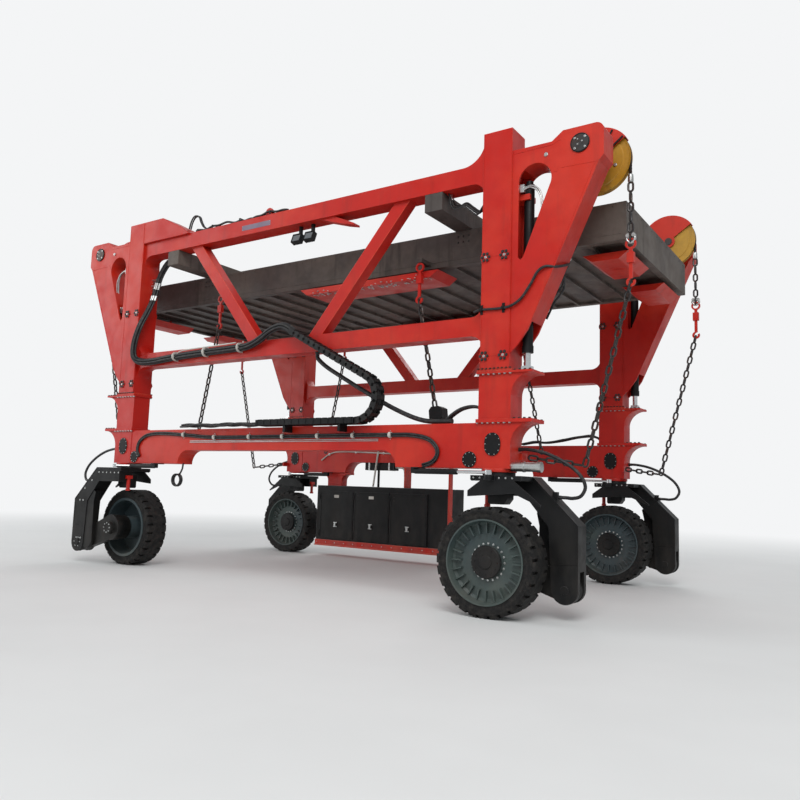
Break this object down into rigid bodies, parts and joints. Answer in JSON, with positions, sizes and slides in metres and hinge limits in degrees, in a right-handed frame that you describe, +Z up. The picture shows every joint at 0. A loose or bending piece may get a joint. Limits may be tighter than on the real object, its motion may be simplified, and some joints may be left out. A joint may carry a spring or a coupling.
{
  "type": "straddle carrier",
  "caption": "Industrial straddle carrier: telescoping portal frame on steered wheel knuckles, with a roof platform, rope sheaves, lift cylinders and a side power pack.",
  "frame": {"origin": "on the ground, under the middle of the machine", "axes": "+X along the machine towards the right end of the picture, +Y across it towards the power pack side, +Z up"},
  "size_m": [14.3058, 7.31, 8.46],
  "materials": {
    "red_paint": "semi-gloss red paint",
    "black_paint": "satin black paint",
    "grey_steel": "dull brown-grey paint",
    "machined": "machined steel",
    "chrome": "hard chrome",
    "dark_steel": "dark oiled steel",
    "yellow_paint": "yellow paint",
    "wheel_paint": "dark grey-green paint",
    "tyre": "solid rubber",
    "hose": "black hose and chain-link cable guide",
    "engine": "grey cast iron"
  },
  "bodies": {
    "near_frame": {"near_side_beam": "red_paint", "near_leg_bases": "red_paint", "near_masts": "machined", "near_lift_rods": "chrome", "near_steer_barrels": "black_paint", "cable_tray": "black_paint", "energy_chain": "hose", "beam_hose": "hose", "slack_hose": "hose", "knuckle_hose_near_right": "hose", "knuckle_hose_near_left": "hose"},
    "upper_frame": {"sleeve_legs": "red_paint", "ears": "red_paint", "mid_beams": "red_paint", "top_beams": "red_paint", "braces": "red_paint", "cross_girders": "grey_steel", "platform_sides": "grey_steel", "platform_ends": "grey_steel", "platform_deck": "grey_steel", "platform_bars": "grey_steel", "lift_barrels": "black_paint", "sheave_shafts": "dark_steel", "sheaves": "yellow_paint", "sheave_guards": "red_paint", "lifting_chains": "dark_steel", "lifting_hooks": "red_paint", "lifting_lugs": "red_paint", "chain_pans": "red_paint", "floodlights": "black_paint", "hose_bundle": "hose"},
    "far_frame": {"far_side_beam": "red_paint", "far_leg_bases": "red_paint", "far_masts": "machined", "far_lift_rods": "chrome", "far_steer_barrels": "black_paint", "power_pack": "black_paint", "pack_sill": "red_paint", "engine": "engine", "knuckle_hose_far_right": "hose", "knuckle_hose_far_left": "hose"},
    "pack_door_left": {"door_left": "black_paint"},
    "pack_door_middle": {"door_middle": "black_paint"},
    "pack_door_right": {"door_right": "black_paint"},
    "knuckle_near_right": {"knuckle_near_right": "black_paint"},
    "wheel_near_right": {"rim_near_right": "wheel_paint", "tyre_near_right": "tyre"},
    "steer_rod_near_right": {"steer_rod_near_right": "chrome"},
    "knuckle_near_left": {"knuckle_near_left": "black_paint"},
    "wheel_near_left": {"rim_near_left": "wheel_paint", "tyre_near_left": "tyre"},
    "steer_rod_near_left": {"steer_rod_near_left": "chrome"},
    "knuckle_far_right": {"knuckle_far_right": "black_paint"},
    "wheel_far_right": {"rim_far_right": "wheel_paint", "tyre_far_right": "tyre"},
    "steer_rod_far_right": {"steer_rod_far_right": "chrome"},
    "knuckle_far_left": {"knuckle_far_left": "black_paint"},
    "wheel_far_left": {"rim_far_left": "wheel_paint", "tyre_far_left": "tyre"},
    "steer_rod_far_left": {"steer_rod_far_left": "chrome"}
  },
  "joints": [
    {"name": "lift", "type": "slide", "parent": "near_frame", "child": "upper_frame", "axis": [0, 0, 1], "range_m": [0, 2], "deforming": ["energy_chain", "slack_hose"]},
    {"name": "far_lift", "type": "slide", "parent": "upper_frame", "child": "far_frame", "axis": [0, 0, -1], "range_m": [0, 2]},
    {"name": "steer_near_right", "type": "hinge", "parent": "near_frame", "child": "knuckle_near_right", "pos_m": [5, -3.125, 2.3], "axis": [0, 0, 1], "range_deg": [-40, 40], "deforming": ["knuckle_hose_near_right"]},
    {"name": "roll_near_right", "type": "hinge", "parent": "knuckle_near_right", "child": "wheel_near_right", "pos_m": [5, -3.375, 0.9], "axis": [0, 1, 0], "continuous": true},
    {"name": "steer_rod_slide_near_right", "type": "slide", "parent": "near_frame", "child": "steer_rod_near_right", "axis": [1, 0, 0], "range_m": [-0.28, 0.28]},
    {"name": "steer_near_left", "type": "hinge", "parent": "near_frame", "child": "knuckle_near_left", "pos_m": [-5, -3.125, 2.3], "axis": [0, 0, 1], "range_deg": [-40, 40], "deforming": ["knuckle_hose_near_left"]},
    {"name": "roll_near_left", "type": "hinge", "parent": "knuckle_near_left", "child": "wheel_near_left", "pos_m": [-5, -2.875, 0.9], "axis": [0, 1, 0], "continuous": true},
    {"name": "steer_rod_slide_near_left", "type": "slide", "parent": "near_frame", "child": "steer_rod_near_left", "axis": [1, 0, 0], "range_m": [-0.28, 0.28]},
    {"name": "steer_far_right", "type": "hinge", "parent": "far_frame", "child": "knuckle_far_right", "pos_m": [5, 3.125, 2.3], "axis": [0, 0, 1], "range_deg": [-40, 40], "deforming": ["knuckle_hose_far_right"]},
    {"name": "roll_far_right", "type": "hinge", "parent": "knuckle_far_right", "child": "wheel_far_right", "pos_m": [5, 2.875, 0.9], "axis": [0, 1, 0], "continuous": true},
    {"name": "steer_rod_slide_far_right", "type": "slide", "parent": "far_frame", "child": "steer_rod_far_right", "axis": [1, 0, 0], "range_m": [-0.28, 0.28]},
    {"name": "steer_far_left", "type": "hinge", "parent": "far_frame", "child": "knuckle_far_left", "pos_m": [-5, 3.125, 2.3], "axis": [0, 0, 1], "range_deg": [-40, 40], "deforming": ["knuckle_hose_far_left"]},
    {"name": "roll_far_left", "type": "hinge", "parent": "knuckle_far_left", "child": "wheel_far_left", "pos_m": [-5, 2.875, 0.9], "axis": [0, 1, 0], "continuous": true},
    {"name": "steer_rod_slide_far_left", "type": "slide", "parent": "far_frame", "child": "steer_rod_far_left", "axis": [1, 0, 0], "range_m": [-0.28, 0.28]},
    {"name": "door_swing_left", "type": "hinge", "parent": "far_frame", "child": "pack_door_left", "pos_m": [-3.65, 2.592, 1.2], "axis": [0, 0, -1], "range_deg": [0, 95]},
    {"name": "door_swing_middle", "type": "hinge", "parent": "far_frame", "child": "pack_door_middle", "pos_m": [-2.4, 2.592, 1.2], "axis": [0, 0, -1], "range_deg": [0, 95]},
    {"name": "door_swing_right", "type": "hinge", "parent": "far_frame", "child": "pack_door_right", "pos_m": [-1.15, 2.592, 1.2], "axis": [0, 0, -1], "range_deg": [0, 95]}
  ],
  "couplings": [
    {"joint": "far_lift", "follows": "lift", "ratio": 1},
    {"joint": "steer_rod_slide_near_right", "follows": "steer_near_right", "m_per_rad": 0.4},
    {"joint": "steer_rod_slide_near_left", "follows": "steer_near_left", "m_per_rad": 0.4},
    {"joint": "steer_rod_slide_far_right", "follows": "steer_far_right", "m_per_rad": 0.4},
    {"joint": "steer_rod_slide_far_left", "follows": "steer_far_left", "m_per_rad": 0.4}
  ]
}
